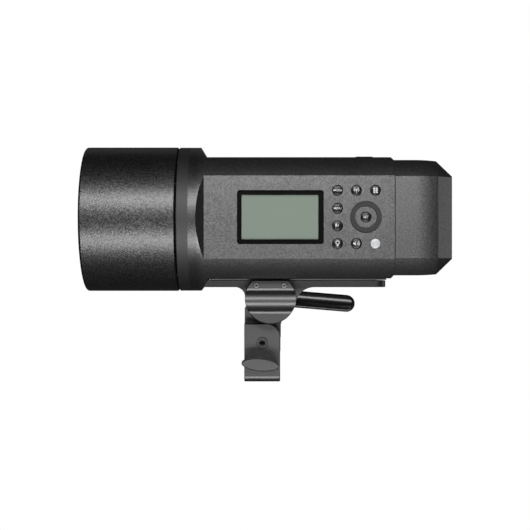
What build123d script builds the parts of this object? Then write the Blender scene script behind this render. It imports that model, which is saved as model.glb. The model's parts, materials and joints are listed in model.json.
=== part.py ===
"""Battery monolight strobe with protective cap, tilting stand bracket and clip-on battery.

Frame, in millimetres: the origin is the centre of the stand socket's mouth, at the bottom of the
tilt arm. +Z is up, light leaves the head along -X, the control panel faces -Y and the battery is
at +X. The flash axis is level, parallel to X, at height AXIS_Z.
"""

import os
from math import cos, pi, radians, sin, sqrt

from build123d import *

# Stand adapter
SOCKET_R = 8.1                # 5/8 inch (16 mm) stand spigot
SOCKET_DEPTH = 38.0
ARM_HALF_X, ARM_HALF_Y = 15.5, 16.0
ARM_TOP_Z = 50.2
ARM_SHOULDER_R = 11.5
NECK_LEFT_X, NECK_RIGHT_X = -15.3, 16.2
EYE_R = 15.5
ACCESSORY_Z = 33.6
THREAD_R = 2.55               # minor radius of a 1/4-20 UNC thread
INSERT_R = 4.9
KNOB_X, KNOB_Z = -1.5, 16.1
KNOB_HALF_LENGTH, KNOB_HALF_WIDTH = 16.1, 5.4
KNOB_LEAN = 5.0               # degrees
STUD_R = 4.0

# Tilt pivot, along Y
HUB_X, HUB_Z = 7.0, 72.4
LOBE_R = 21.8
PIVOT_R = 5.0
RUN_GAP = 0.05                # radial clearance of a running fit
CHEEK_Y = (-27.0, -18.0)
LOBE_Y = (-18.0, -6.5)
EYE_Y = (-5.5, 6.5)
DISC_THICK = 1.0
CHEEK_TOP_Z = 87.8
BOSS_Z, BOSS_R, BOSS_Y = 70.2, 8.6, -25.0
UMBRELLA_R = 4.15             # 8 mm umbrella shaft
CHEEK_SCREWS = ((-4.9, 83.4), (18.9, 83.4))

# Rail under the body
RAIL_X = (-50.6, 106.9)
RAIL_Z = (81.9, 87.6)
RAIL_HALF_Y = 18.0
RAIL_NECK_HALF_Y = 17.2       # dark groove between the rail and its top flange
FLANGE_Z = 88.1
RAIL_END_R = 8.6
WEB_LEFT_R, WEB_RIGHT_R = 8.5, 17.2
RAIL_SCREW_X = (-38.0, 44.0, 70.0, 96.0)

# Clamping lever
LEVER_LEAN = 4.8              # degrees below +X
LEVER_REACH = 68.2
LEVER_END_R = 7.5
LEVER_Y = (17.5, 27.5)
NUT_END_Y = 18.3
LEVER_SCREW_R = 2.6
LEVER_WALL = 2.6
SCOOP_R, SCOOP_DEPTH = 9.9, 1.3   # shallow round hollow along the lever's inner face

# Head
AXIS_Z = 141.0
BODY_R = 62.5
SIDE_HALF = 52.0              # flash axis to the panel's face
TOP_HALF = 51.4               # flash axis to the top and bottom flats
WALL = 2.6
COLLAR_X = (-61.8, -55.3)
FLAT_START_X = -48.7
TOP_RUN_X = (-53.2, -46.6)     # run from the collar down to the top and bottom flats
BODY_END_X = 111.1
RING_X = (-71.5, -61.8)
RING_R = 62.5
MOUTH_R = 47.5                # modifier bayonet
SLOT_R = 52.5
SLOT_ANGLES = (90.0, 210.0, 330.0)
SLOT_SPAN = 34.0              # degrees
PLATE_R = 57.0
PLATE_THICK = 2.5
PLATE_SCREW_ANGLES = (30.0, 60.0, 120.0, 150.0, 240.0, 300.0)
SLIDER_SLOT_X = (-70.0, -64.2)
PLATE_SCREW_R = 55.4

# Protective cap
CAP_X = (-152.6, -72.9)
CAP_R = 62.65
CAP_WALL = 2.2
SLEEVE_R, SLEEVE_BORE_R = 46.9, 44.6
SLEEVE_END_X = -66.9

# Flash tube and dome
TUBE_RING_R, TUBE_R = 24.0, 4.2
TUBE_X = -100.0
TUBE_GAP = 50.0               # degrees left open at the bottom of the tube's ring
TUBE_LEG_Y = TUBE_RING_R * sin(radians(TUBE_GAP / 2))
TUBE_LEG_DROP = 18.0          # where the legs enter the socket, below the flash axis
DOME_R = 37.0
DOME_START_X, DOME_TURN_X = -66.0, -96.0
DOME_WALL = 2.0

# Control panel
BEZEL_X, BEZEL_Z = (-21.0, 51.5), (118.4, 163.6)
WINDOW_X, WINDOW_Z = (-17.2, 46.9), (122.4, 159.5)
KEY_R, KEY_HOLE_R = 4.25, 4.6
KEYS = {
    "mode_button": (62.9, 163.3),
    "wireless_button": (78.7, 163.3),
    "group_button": (94.6, 163.3),
    "menu_button": (62.9, 148.3),
    "function_button": (62.9, 133.7),
    "lamp_button": (62.9, 118.9),
    "sound_button": (78.7, 118.9),
    "test_button": (94.6, 118.9),
}
DIAL_X, DIAL_Z = 86.6, 141.0
DIAL_R, DIAL_BORE_R = 12.9, 9.3
DIAL_WELL_R = 13.3
KNURLS = 60
BOARD_Y = -44.6

# Top and far side
RELEASE_X = (80.8, 96.5)
RELEASE_HOLE_X = (80.4, 96.9)
RELEASE_HALF_Y = 8.0
PORT_X, PORT_Z = (58.0, 100.0), (118.0, 134.0)
DOOR_HINGE_Y, DOOR_HINGE_Z = 51.2, 119.2
DOOR_THICK, DOOR_PIN_R = 1.6, 0.5
SWITCH_X, SWITCH_Z = (82.0, 100.0), (150.0, 160.0)
ROCKER_X, ROCKER_Y, TRUNNION_R = 91.0, 47.0, 1.6
VENT_X, VENT_Z = (-24.0, 36.0), (122.0, 160.0)
FAN_X, FAN_Z = 6.0, 141.0
POSTS = ((-44.0, 171.0), (-44.0, 111.0), (54.5, 171.8), (54.5, 110.2))
POST_R = 3.2
POST_MEET_Y, SCREW_TIP_Y = 45.0, 36.0

# Battery
BATTERY_X = (111.4, 160.8)
BATTERY_SIDE, BATTERY_TOP = 51.5, 48.8
SIDE_FLAT_HALF_Z, TOP_FLAT_HALF_Y = 34.2, 37.9
CORNER_BULGE = 0.8            # height of the corner arcs over their chords
BEND_X, FACET_X = 129.0, 147.5
SIDE_SWEEP, TOP_SWEEP = 3.4, 0.8   # how far the flats have closed in at FACET_X
END_HALF_Y, END_HALF_Z = 36.5, 35.0
WALL_X = (101.4, 104.0)       # wall at the bottom of the battery bay
PLUG_X = 105.0                # front of the plug that enters the body
CONTACT_Y = (-18.0, 0.0, 18.0)
CELL_R, CELL_LENGTH = 9.1, 65.0
GAUGE_Z = 141.0
GAUGE_BUTTON_Y = 15.0
GAUGE_LED_Y = (-16.0, -10.5, -5.0, 0.5)


def cyl_x(r, x0, x1, y=0.0, z=AXIS_Z):
    """Cylinder along X."""
    return extrude(Plane(origin=(x0, y, z), x_dir=(0, 1, 0), z_dir=(1, 0, 0)) * Circle(r), x1 - x0)


def cyl_y(r, y0, y1, x, z):
    """Cylinder along Y."""
    return extrude(Plane(origin=(x, y0, z), x_dir=(0, 0, 1), z_dir=(0, 1, 0)) * Circle(r), y1 - y0)


def cyl_z(r, z0, z1, x, y):
    """Cylinder along Z."""
    return extrude(Plane(origin=(x, y, z0)) * Circle(r), z1 - z0)


def block(x0, x1, y0, y1, z0, z1):
    """Box between two corners."""
    return Pos((x0 + x1) / 2, (y0 + y1) / 2, (z0 + z1) / 2) * Box(x1 - x0, y1 - y0, z1 - z0)


def prism_y(points, y0, y1):
    """Outline in X and Z, extruded along Y."""
    face = make_face(Polyline(*[(x, y0, z) for x, z in points], close=True))
    return extrude(face, y1 - y0, dir=(0, 1, 0))


def prism_z(points, z0, z1):
    """Outline in X and Y, extruded along Z."""
    face = make_face(Polyline(*[(x, y, z0) for x, y in points], close=True))
    return extrude(face, z1 - z0, dir=(0, 0, 1))


def flatted(r, half_y, half_z, x0, x1):
    """Round bar along X with four flats, centred on the flash axis."""
    section = Circle(r) & Rectangle(2 * half_y, 2 * half_z)
    return extrude(Plane(origin=(x0, 0, AXIS_Z), x_dir=(0, 1, 0), z_dir=(1, 0, 0)) * section, x1 - x0)


def polar(r, degrees):
    """Point at an angle around the flash axis, as Y and Z; 90 degrees is the top."""
    return r * cos(radians(degrees)), AXIS_Z + r * sin(radians(degrees))


def save(name, *solids):
    """One STEP file for one node."""
    shape = solids[0] if len(solids) == 1 else Compound(children=list(solids))
    export_step(shape, f"parts/{name}.step")


# ---------------------------------------------------------------- stand adapter


def tilt_arm():
    eye = cyl_y(EYE_R, *EYE_Y, HUB_X, HUB_Z)
    neck = prism_y(
        [
            (NECK_LEFT_X, ARM_TOP_Z - 12), (NECK_RIGHT_X, ARM_TOP_Z - 12),
            (NECK_RIGHT_X, ARM_TOP_Z - 1), (HUB_X + 13.6, HUB_Z - 7.4),
            (HUB_X, HUB_Z), (HUB_X - 10.0, HUB_Z + 11.8), (NECK_LEFT_X, HUB_Z - 9.0),
        ],
        *EYE_Y,
    )
    post = block(-ARM_HALF_X, ARM_HALF_X, -ARM_HALF_Y, ARM_HALF_Y, 0, ARM_TOP_Z)
    shoulder = post.edges().filter_by(Axis.Y).sort_by(Axis.Z)[-2:].sort_by(Axis.X)[-1]
    post = fillet(shoulder, ARM_SHOULDER_R)
    post = fillet(post.faces().sort_by(Axis.Z)[0].edges().filter_by(Axis.X), 5.0)
    front = post.faces().sort_by(Axis.Y)[0].edges()
    post = chamfer(front.sort_by(Axis.Z)[1:], 0.6)
    web = block(NECK_LEFT_X, ARM_HALF_X + 0.4, EYE_Y[0], ARM_HALF_Y, ARM_TOP_Z - 24, ARM_TOP_Z - 0.2)
    arm = post + web + neck + eye
    arm -= cyl_z(SOCKET_R, -1, SOCKET_DEPTH, 0, 0)
    arm -= cyl_y(PIVOT_R + RUN_GAP, -20, 20, HUB_X, HUB_Z)
    arm -= cyl_y(INSERT_R, -17, -9.2, 0, ACCESSORY_Z)
    arm -= cyl_y(INSERT_R + 0.45, -17, -ARM_HALF_Y + 0.8, 0, ACCESSORY_Z)
    arm -= cyl_y(STUD_R + RUN_GAP, -17, 0, KNOB_X, KNOB_Z)
    return arm


def accessory_insert():
    return cyl_y(INSERT_R, -ARM_HALF_Y - 0.3, -9.2, 0, ACCESSORY_Z) - cyl_y(
        THREAD_R, -20, -9.8, 0, ACCESSORY_Z
    )


def stand_knob():
    """Oval wing knob on a round neck."""
    outline = Rot(0, 0, -KNOB_LEAN) * Ellipse(KNOB_HALF_LENGTH, KNOB_HALF_WIDTH)
    face = Plane(origin=(KNOB_X, -34.0, KNOB_Z), x_dir=(1, 0, 0), z_dir=(0, -1, 0))
    wing = extrude(face * outline, -12.0)
    wing = chamfer(wing.edges().sort_by(Axis.Y)[0], 0.7)
    neck = cyl_y(5.2, -22.5, -ARM_HALF_Y - 0.4, KNOB_X, KNOB_Z)
    return wing + neck - cyl_y(STUD_R, -25.0, -10, KNOB_X, KNOB_Z)


def knob_stud():
    return cyl_y(STUD_R, -25.0, -10.2, KNOB_X, KNOB_Z)


def clamp_shoe():
    """Soft metal pad between the stud and the spigot."""
    pad = cyl_y(STUD_R, -10.1, -SOCKET_R + 0.2, KNOB_X, KNOB_Z)
    return pad - cyl_z(SOCKET_R + 0.1, 0, 30, 0, 0)


# ---------------------------------------------------------------- rail, cheek and pivot


def mounting_rail():
    """Plate under the body with a flange on top and the tilt lobe hanging from it."""
    lean = (TOP_RUN_X[1] - TOP_RUN_X[0]) / (BODY_R - TOP_HALF)
    body_z = AXIS_Z - TOP_HALF
    left_top = RAIL_X[0] + lean * (body_z - RAIL_Z[0])
    left_neck = RAIL_X[0] + lean * (RAIL_Z[1] - RAIL_Z[0])
    profile = [
        (RAIL_X[0], RAIL_Z[0]), (RAIL_X[1], RAIL_Z[0]), (RAIL_X[1], RAIL_Z[1]), (left_neck, RAIL_Z[1]),
    ]
    plate = prism_y(profile, -RAIL_HALF_Y, RAIL_HALF_Y)
    end_edges = plate.edges().filter_by(Axis.Z).sort_by(Axis.X)[-2:]
    plate = fillet(end_edges, RAIL_END_R)
    plate = chamfer(plate.faces().sort_by(Axis.Z)[0].edges(), 0.5)
    flange = block(left_top, RAIL_X[1], -RAIL_HALF_Y, RAIL_HALF_Y, FLANGE_Z, body_z)
    flange = fillet(flange.edges().filter_by(Axis.X), 0.6)
    half_y = RAIL_NECK_HALF_Y
    neck = block(left_top + 1, RAIL_X[1] - 9, -half_y, half_y, RAIL_Z[1] - 1, body_z - 0.7)
    plate += neck + flange
    lobe = cyl_y(LOBE_R, *LOBE_Y, HUB_X, HUB_Z)
    rise = RAIL_Z[0] - HUB_Z
    webs = []
    for side, web_r in ((-1, WEB_LEFT_R), (1, WEB_RIGHT_R)):
        # The web fillet touches the lobe's circle and the plate's lower face.
        reach = sqrt((LOBE_R + web_r) ** 2 - (rise - web_r) ** 2)
        centre = (HUB_X + side * reach, RAIL_Z[0] - web_r)
        touch = LOBE_R / (LOBE_R + web_r)
        lobe_point = (HUB_X + touch * (centre[0] - HUB_X), HUB_Z + touch * (centre[1] - HUB_Z))
        top = RAIL_Z[1] - 0.5
        outline = [(HUB_X, HUB_Z), lobe_point, centre, (centre[0], top), (HUB_X, top)]
        webs.append(prism_y(outline, *LOBE_Y) - cyl_y(web_r, -30, 0, *centre))
    rail = plate + webs[0] + webs[1]
    rail += lobe - block(-40, 60, -30, 0, RAIL_Z[1] - 0.5, 120)
    # Slot for the arm's eye and neck as the head tilts, and clearance for the clamp nut.
    rail -= block(HUB_X - 30.0, HUB_X + 23.0, LOBE_Y[1], EYE_Y[1] + 0.7, 60, 100)
    rail -= cyl_y(EYE_R - 0.8, EYE_Y[1], RAIL_HALF_Y + 1, HUB_X, HUB_Z)
    rail -= cyl_y(PIVOT_R, -20, 0, HUB_X, HUB_Z)
    rail -= cyl_y(9.0, LOBE_Y[0] - 1, LOBE_Y[0] + 5.0, HUB_X, HUB_Z)
    for x in RAIL_SCREW_X:
        rail -= cyl_z(2.1, 70, 95, x, 0) + cyl_z(3.8, 70, RAIL_Z[0] + 3.6, x, 0)
    for x, z in CHEEK_SCREWS:
        rail -= cyl_y(1.5, LOBE_Y[0] - 1, LOBE_Y[0] + 8.0, x, z)
    return rail


def rail_screws():
    """Countersunk-head socket screws from the rail into the casing."""
    screws = []
    for x in RAIL_SCREW_X:
        head = cyl_z(3.7, RAIL_Z[0] + 0.6, RAIL_Z[0] + 3.6, x, 0) - cyl_z(1.5, 80, RAIL_Z[0] + 2.4, x, 0)
        screws.append(head + cyl_z(2.0, RAIL_Z[0] + 3.6, AXIS_Z - TOP_HALF + 5.5, x, 0))
    return screws


def umbrella_cheek():
    """Round cheek with the horizontal umbrella boss across it."""
    cheek = cyl_y(LOBE_R, *CHEEK_Y, HUB_X, HUB_Z) - block(-40, 60, -60, 0, CHEEK_TOP_Z, 120)
    cheek = chamfer(cheek.faces().sort_by(Axis.Y)[0].edges(), 0.6)
    # Grooves with shallow bevels set the round boss off from the two flats.
    y0, depth, bevel, wall_z = CHEEK_Y[0], 4.0, 0.5, -BOSS_R - 0.2
    groove = [(y0 - bevel, wall_z - 3.8), (y0 + bevel, wall_z), (y0 + depth, wall_z)]
    groove += [(y, -z) for y, z in reversed(groove)]
    outline = make_face(Polyline(*[(-40, y, BOSS_Z + z) for y, z in groove], close=True))
    cheek -= extrude(outline, 100, dir=(1, 0, 0))
    boss = cyl_x(BOSS_R, HUB_X - LOBE_R, HUB_X + LOBE_R, BOSS_Y, BOSS_Z)
    cheek += boss & cyl_y(LOBE_R, -60, CHEEK_Y[1], HUB_X, HUB_Z)
    cheek -= cyl_x(UMBRELLA_R, -40, 60, BOSS_Y, BOSS_Z)
    for x, z in CHEEK_SCREWS:
        cheek -= cyl_y(2.5, -30, CHEEK_Y[0] + 3.2, x, z) + cyl_y(1.6, -30, 0, x, z)
    return cheek


def cheek_screws():
    screws = []
    for x, z in CHEEK_SCREWS:
        head = cyl_y(2.4, CHEEK_Y[0] + 0.1, CHEEK_Y[0] + 3.2, x, z)
        head = chamfer(head.edges().sort_by(Axis.Y)[0], 0.35)
        shank = cyl_y(1.5, CHEEK_Y[0] + 3.2, LOBE_Y[0] + 8.0, x, z)
        mouth = Plane(origin=(x, CHEEK_Y[0] - 1, z), x_dir=(1, 0, 0), z_dir=(0, -1, 0))
        socket = extrude(mouth * RegularPolygon(1.35, 6), -3.0)
        screws.append(head + shank - socket)
    return screws


def pivot_bolt():
    """Flat-headed bolt in the lobe; its thread carries the clamp nut."""
    head = cyl_y(9.0, LOBE_Y[0] + 0.2, LOBE_Y[0] + 5.0, HUB_X, HUB_Z)
    return head + cyl_y(PIVOT_R, LOBE_Y[0] + 5.0, NUT_END_Y - 1.3, HUB_X, HUB_Z)


def friction_discs():
    discs = []
    for y0 in (LOBE_Y[1], EYE_Y[1] + 0.05):
        ring = cyl_y(EYE_R - 1.0, y0, y0 + DISC_THICK - 0.05, HUB_X, HUB_Z)
        discs.append(ring - cyl_y(PIVOT_R, y0 - 1, y0 + 3, HUB_X, HUB_Z))
    return discs


def clamp_nut():
    """Splined hub that the lever turns."""
    y0 = EYE_Y[1] + DISC_THICK + 0.15
    nut = cyl_y(13.0, y0, y0 + 5.5, HUB_X, HUB_Z) + cyl_y(7.6, y0 + 5.5, NUT_END_Y, HUB_X, HUB_Z)
    return nut - cyl_y(PIVOT_R + RUN_GAP, 0, NUT_END_Y - 1.0, HUB_X, HUB_Z)


def lock_lever():
    """Long handle with a scooped inner face and a hub over the clamp nut."""
    face = Plane(origin=(HUB_X, LEVER_Y[0], HUB_Z), x_dir=(1, 0, 0), z_dir=(0, -1, 0))
    face *= Rot(0, 0, -LEVER_LEAN)
    bar = extrude(face * lever_outline(), LEVER_Y[0] - LEVER_Y[1])
    bar = fillet(bar.edges().group_by(Axis.Y)[-1], 2.4)
    bar = fillet(bar.edges().group_by(Axis.Y)[0], 2.0)
    scoop = Pos(0, 0, SCOOP_R - SCOOP_DEPTH) * Rot(0, 90, 0) * Cylinder(SCOOP_R, 4 * LEVER_REACH)
    hollow = extrude(face * lever_channel(), -2 * SCOOP_DEPTH) & (face * scoop)
    hub = cyl_y(11.0, LEVER_Y[0] - 3.6, LEVER_Y[1], HUB_X, HUB_Z)
    hub = fillet(hub.edges().sort_by(Axis.Y)[-1], 1.5)
    lever = bar + hub - hollow
    lever -= cyl_y(7.8, 0, NUT_END_Y + 0.2, HUB_X, HUB_Z)
    lever -= cyl_y(LEVER_SCREW_R + 0.2, 0, 40, HUB_X, HUB_Z)
    return lever - cyl_y(5.8, NUT_END_Y + 2.2, 40, HUB_X, HUB_Z)


def lever_outline():
    """Bar from the hub to a round end, in the lever's own X."""
    body = Pos(LEVER_REACH / 2, 0) * Rectangle(LEVER_REACH, 2 * LEVER_END_R)
    return body + Pos(LEVER_REACH, 0) * Circle(LEVER_END_R)


def lever_channel():
    """Outline of the hollow along the lever's inner face."""
    start = 16.0
    half = LEVER_END_R - LEVER_WALL
    middle = Pos((start + LEVER_REACH) / 2, 0) * Rectangle(LEVER_REACH - start, 2 * half)
    return middle + Pos(LEVER_REACH, 0) * Circle(half)


def lever_screw():
    head = cyl_y(5.4, LEVER_Y[1] - 2.4, LEVER_Y[1] - 0.2, HUB_X, HUB_Z)
    head -= cyl_y(2.0, LEVER_Y[1] - 1.6, 60, HUB_X, HUB_Z)
    return head + cyl_y(LEVER_SCREW_R, NUT_END_Y, LEVER_Y[1] - 2.4, HUB_X, HUB_Z)


# ---------------------------------------------------------------- body casings


def body_outer():
    """Round collar running out into a bar with four flats."""
    body = cyl_x(BODY_R, COLLAR_X[0], BODY_END_X)
    far = 90.0
    slope = (FLAT_START_X - COLLAR_X[1]) / (BODY_R - SIDE_HALF)
    edge = [
        (FLAT_START_X, SIDE_HALF), (BODY_END_X - 0.4, SIDE_HALF), (BODY_END_X, SIDE_HALF - 0.4),
        (140, SIDE_HALF - 0.4), (140, far), (FLAT_START_X - slope * (far - SIDE_HALF), far),
    ]
    for side in (1, -1):
        body -= prism_z([(x, side * y) for x, y in edge], 0, 260)
    slope = (TOP_RUN_X[1] - TOP_RUN_X[0]) / (BODY_R - TOP_HALF)
    edge = [
        (TOP_RUN_X[1], TOP_HALF), (BODY_END_X - 2.1, TOP_HALF), (BODY_END_X, TOP_HALF - 2.5),
        (140, TOP_HALF - 2.5), (140, far), (TOP_RUN_X[1] - slope * (far - TOP_HALF), far),
    ]
    for up in (1, -1):
        body -= prism_y([(x, AXIS_Z + up * z) for x, z in edge], -90, 90)
    return body


def casing():
    """Both casing halves in one piece, before they are parted at Y = 0."""
    body = body_outer() - flatted(BODY_R - WALL, SIDE_HALF - WALL, TOP_HALF - WALL, -70, 130)
    # Panel side: display recess, keys and dial.
    body -= fillet(
        block(*BEZEL_X, -60, -SIDE_HALF + 1.6, *BEZEL_Z).edges().filter_by(Axis.Y), 2.2
    )
    body -= block(WINDOW_X[0] - 1, WINDOW_X[1] + 1, -60, -40, WINDOW_Z[0] - 1, WINDOW_Z[1] + 1)
    for x, z in KEYS.values():
        body -= cyl_y(KEY_HOLE_R, -60, -45, x, z)
    well = cyl_y(DIAL_WELL_R, -60, -SIDE_HALF + 1.4, DIAL_X, DIAL_Z)
    well -= cyl_y(DIAL_BORE_R - 0.25, -60, -40, DIAL_X, DIAL_Z)
    body -= well
    body -= cyl_y(KEY_HOLE_R, -60, -45, DIAL_X, DIAL_Z)
    # Top: battery release. Bottom: rail screws.
    body -= block(*RELEASE_HOLE_X, -RELEASE_HALF_Y - 0.3, RELEASE_HALF_Y + 0.3, AXIS_Z + 40, AXIS_Z + 60)
    for x in RAIL_SCREW_X:
        body -= cyl_z(2.05, 80, 100, x, 0)
    # Far side: ports, switch, fan vent. Collar: modifier release slot.
    body -= block(*PORT_X, 45, 60, *PORT_Z)
    body -= cyl_x(DOOR_PIN_R + RUN_GAP, PORT_X[0] - 1.2, PORT_X[1] + 1.2, DOOR_HINGE_Y, DOOR_HINGE_Z)
    body -= block(*SWITCH_X, 45, 60, *SWITCH_Z)
    body -= block(*VENT_X, 45, 60, *VENT_Z)
    for z in (SWITCH_Z[0] - 2.1, SWITCH_Z[1] + 0.1):
        ear = block(ROCKER_X - 3.0, ROCKER_X + 3.0, ROCKER_Y - 3.0, SIDE_HALF - 2.0, z, z + 2.0)
        body += ear - cyl_z(TRUNNION_R + RUN_GAP, z - 1, z + 3, ROCKER_X, ROCKER_Y)
    return body


def split_casing(body):
    """Parts the casing at Y = 0 and gives each half its screw posts."""
    near = body & block(-100, 200, -100, 0, 0, 260)
    far = body & block(-100, 200, 0, 100, 0, 260)
    for x, z in POSTS:
        near += cyl_y(POST_R, 1.0 - SIDE_HALF, POST_MEET_Y, x, z)
        near -= cyl_y(1.5, SCREW_TIP_Y, POST_MEET_Y + 1, x, z)
        far += cyl_y(POST_R, POST_MEET_Y, SIDE_HALF - 1.0, x, z)
        far -= cyl_y(1.7, 30, 60, x, z) + cyl_y(3.0, SIDE_HALF - 1.9, 60, x, z)
    return near, far


def casing_screws():
    screws = []
    for x, z in POSTS:
        head = cyl_y(2.9, SIDE_HALF - 1.9, SIDE_HALF - 0.2, x, z)
        head -= cyl_y(1.2, SIDE_HALF - 1.3, 60, x, z)
        screws.append(head + cyl_y(1.5, SCREW_TIP_Y, SIDE_HALF - 1.9, x, z))
    return screws


def mount_ring():
    ring = chamfer(cyl_x(RING_R, *RING_X).edges().group_by(Axis.X)[0], 0.5)
    ring -= cyl_x(PLATE_R + 0.05, -80, RING_X[0] + PLATE_THICK)
    ring -= cyl_x(54.0, -80, -50)
    ring -= block(*SLIDER_SLOT_X, 50, 70, AXIS_Z - 6.5, AXIS_Z + 6.5)
    for angle in PLATE_SCREW_ANGLES:
        ring -= cyl_x(1.25, RING_X[0], RING_X[0] + PLATE_THICK + 3.0, *polar(PLATE_SCREW_R, angle))
    return ring


def bayonet_plate():
    x0, x1 = RING_X[0], RING_X[0] + PLATE_THICK
    plate = cyl_x(PLATE_R, x0, x1) - cyl_x(MOUTH_R, x0 - 1, x1 + 1)
    for angle in SLOT_ANGLES:
        plate -= sector(SLOT_R, MOUTH_R - 2, angle, SLOT_SPAN, x0 - 1, x1 + 1)
    for angle in PLATE_SCREW_ANGLES:
        plate -= cyl_x(1.3, x0 - 1, x1 + 1, *polar(PLATE_SCREW_R, angle))
    return plate


def sector(r_out, r_in, middle, span, x0, x1):
    """Piece of a ring around the flash axis."""
    ring = cyl_x(r_out, x0, x1) - cyl_x(r_in, x0 - 1, x1 + 1)
    far = 2 * r_out
    a0, a1 = radians(middle - span / 2), radians(middle + span / 2)
    reach = far / cos(radians(span / 2))
    wedge = Polyline(
        (x0, 0, AXIS_Z),
        (x0, reach * cos(a0), AXIS_Z + reach * sin(a0)),
        (x0, reach * cos(a1), AXIS_Z + reach * sin(a1)),
        close=True,
    )
    return ring & extrude(make_face(wedge), x1 - x0, dir=(1, 0, 0))


def bayonet_screws():
    screws = []
    for angle in PLATE_SCREW_ANGLES:
        y, z = polar(PLATE_SCREW_R, angle)
        head = cyl_x(1.5, RING_X[0] - 0.9, RING_X[0], y, z)
        screws.append(head + cyl_x(1.25, RING_X[0], RING_X[0] + PLATE_THICK + 3.0, y, z))
    return screws


def mount_release_slider():
    """Finger slide in the band's slot, which frees a modifier."""
    pad = block(-69.6, -64.6, 57.4, RING_R + 1.6, AXIS_Z - 6.2, AXIS_Z + 0.8)
    return fillet(pad.edges().filter_by(Axis.X).group_by(Axis.Y)[-1], 0.8)


def reflector_pan():
    pan = cyl_x(53.8, -65.6, COLLAR_X[0])
    dish = cyl_x(46.0, -70, -64.2)
    return pan - dish - cyl_x(22.2, -80, -50)


def tube_socket():
    base = cyl_x(22.0, -76.0, COLLAR_X[0] + 6)
    for y in (-TUBE_LEG_Y, TUBE_LEG_Y):
        base -= cyl_x(TUBE_R, -80, -66, y, AXIS_Z - TUBE_LEG_DROP)
    return base - cyl_x(8.0, -80, -70)


def flash_tube():
    """Open glass ring on two legs that bend back into the socket."""
    ring_plane = Plane(origin=(TUBE_X, 0, AXIS_Z), x_dir=(0, 1, 0), z_dir=(1, 0, 0))
    start = -90 + TUBE_GAP / 2
    ring = Torus(TUBE_RING_R, TUBE_R, major_angle=360 - TUBE_GAP)
    ring = ring_plane * Rot(0, 0, start) * ring
    tube = ring
    drop = TUBE_RING_R * cos(radians(TUBE_GAP / 2))
    for y in (-TUBE_LEG_Y, TUBE_LEG_Y):
        z_ring = AXIS_Z - drop
        tube += Pos(TUBE_X, y, z_ring) * Sphere(TUBE_R)
        z_leg = AXIS_Z - TUBE_LEG_DROP
        tube += cyl_x(TUBE_R - 0.05, TUBE_X, TUBE_X + 6.0, y, z_ring)
        knee = Pos(TUBE_X + 6.0, y, z_ring) * Sphere(TUBE_R)
        tube += knee
        run = (-76.5) - (TUBE_X + 6.0)
        rise = z_leg - z_ring
        length = sqrt(run * run + rise * rise)
        slant = Plane(origin=(TUBE_X + 6.0, y, z_ring), x_dir=(0, 1, 0), z_dir=(run, 0, rise))
        tube += extrude(slant * Circle(TUBE_R - 0.1), length)
        tube += Pos(-76.5, y, z_leg) * Sphere(TUBE_R)
        tube += cyl_x(TUBE_R - 0.05, -76.5, -67.0, y, z_leg)
    return tube


def modelling_lamp():
    lamp = cyl_x(7.9, -79.0, -70.0)
    lens = Pos(-79.0, 0, AXIS_Z) * Sphere(7.0) & block(-100, -79.0, -20, 20, 100, 180)
    return lamp + lens


def glass_dome():
    """Frosted bulb with a round nose and a rim that seats on the pan."""
    centre_x, nose_x = DOME_TURN_X, DOME_TURN_X - DOME_R
    inner = DOME_R - DOME_WALL
    half = sin(radians(45))
    outline = (
        Polyline((nose_x + DOME_WALL, 0), (nose_x, 0))
        + ThreePointArc((nose_x, 0), (centre_x - half * DOME_R, half * DOME_R), (centre_x, DOME_R))
        + Polyline(
            (centre_x, DOME_R), (DOME_START_X - 2.0, DOME_R), (DOME_START_X - 2.0, DOME_R + 2.2),
            (DOME_START_X, DOME_R + 2.2), (DOME_START_X, inner), (centre_x, inner),
        )
        + ThreePointArc((centre_x, inner), (centre_x - half * inner, half * inner), (nose_x + DOME_WALL, 0))
    )
    face = make_face(outline)
    plane = Plane(origin=(0, 0, AXIS_Z), x_dir=(1, 0, 0), z_dir=(0, -1, 0))
    return revolve(plane * face, Axis((0, 0, AXIS_Z), (1, 0, 0)), 360)


# ---------------------------------------------------------------- protective cap


def protective_cap():
    """Round cover, open at the back where the sleeve is pressed in."""
    shell = cyl_x(CAP_R, *CAP_X)
    shell = fillet(shell.edges().sort_by(Axis.X)[0], 2.0)
    shell = chamfer(shell.edges().sort_by(Axis.X)[-1], 0.6)
    shell -= cyl_x(CAP_R - CAP_WALL, CAP_X[0] + CAP_WALL + 0.3, CAP_X[1] - 2.5)
    return shell - cyl_x(SLEEVE_R + 0.02, CAP_X[1] - 5, CAP_X[1] + 1)


def cap_sleeve():
    """Sleeve in the back of the cap, with three lugs that pass through the bayonet's slots."""
    sleeve = cyl_x(SLEEVE_R, CAP_X[1] - 2.5, SLEEVE_END_X)
    sleeve -= cyl_x(SLEEVE_BORE_R, CAP_X[1] - 4, SLEEVE_END_X + 1)
    lug_x = (SLEEVE_END_X - 2.3, SLEEVE_END_X)
    for angle in SLOT_ANGLES:
        sleeve += sector(SLOT_R - 0.7, SLEEVE_R - 1, angle, SLOT_SPAN - 6.0, *lug_x)
    return sleeve


# ---------------------------------------------------------------- control panel pieces


def lcd_bezel():
    frame = fillet(
        block(BEZEL_X[0] + 0.1, BEZEL_X[1] - 0.1, -SIDE_HALF + 0.3, -SIDE_HALF + 1.6,
              BEZEL_Z[0] + 0.1, BEZEL_Z[1] - 0.1).edges().filter_by(Axis.Y), 2.1
    )
    return frame - block(*WINDOW_X, -60, -40, *WINDOW_Z)


def lcd_window():
    return block(*WINDOW_X, -SIDE_HALF + 0.5, -SIDE_HALF + 1.6, *WINDOW_Z)


def lcd_display():
    return block(WINDOW_X[0] - 0.8, WINDOW_X[1] + 0.8, -SIDE_HALF + 1.6, -SIDE_HALF + 5.0,
                 WINDOW_Z[0] - 0.8, WINDOW_Z[1] + 0.8)


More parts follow.
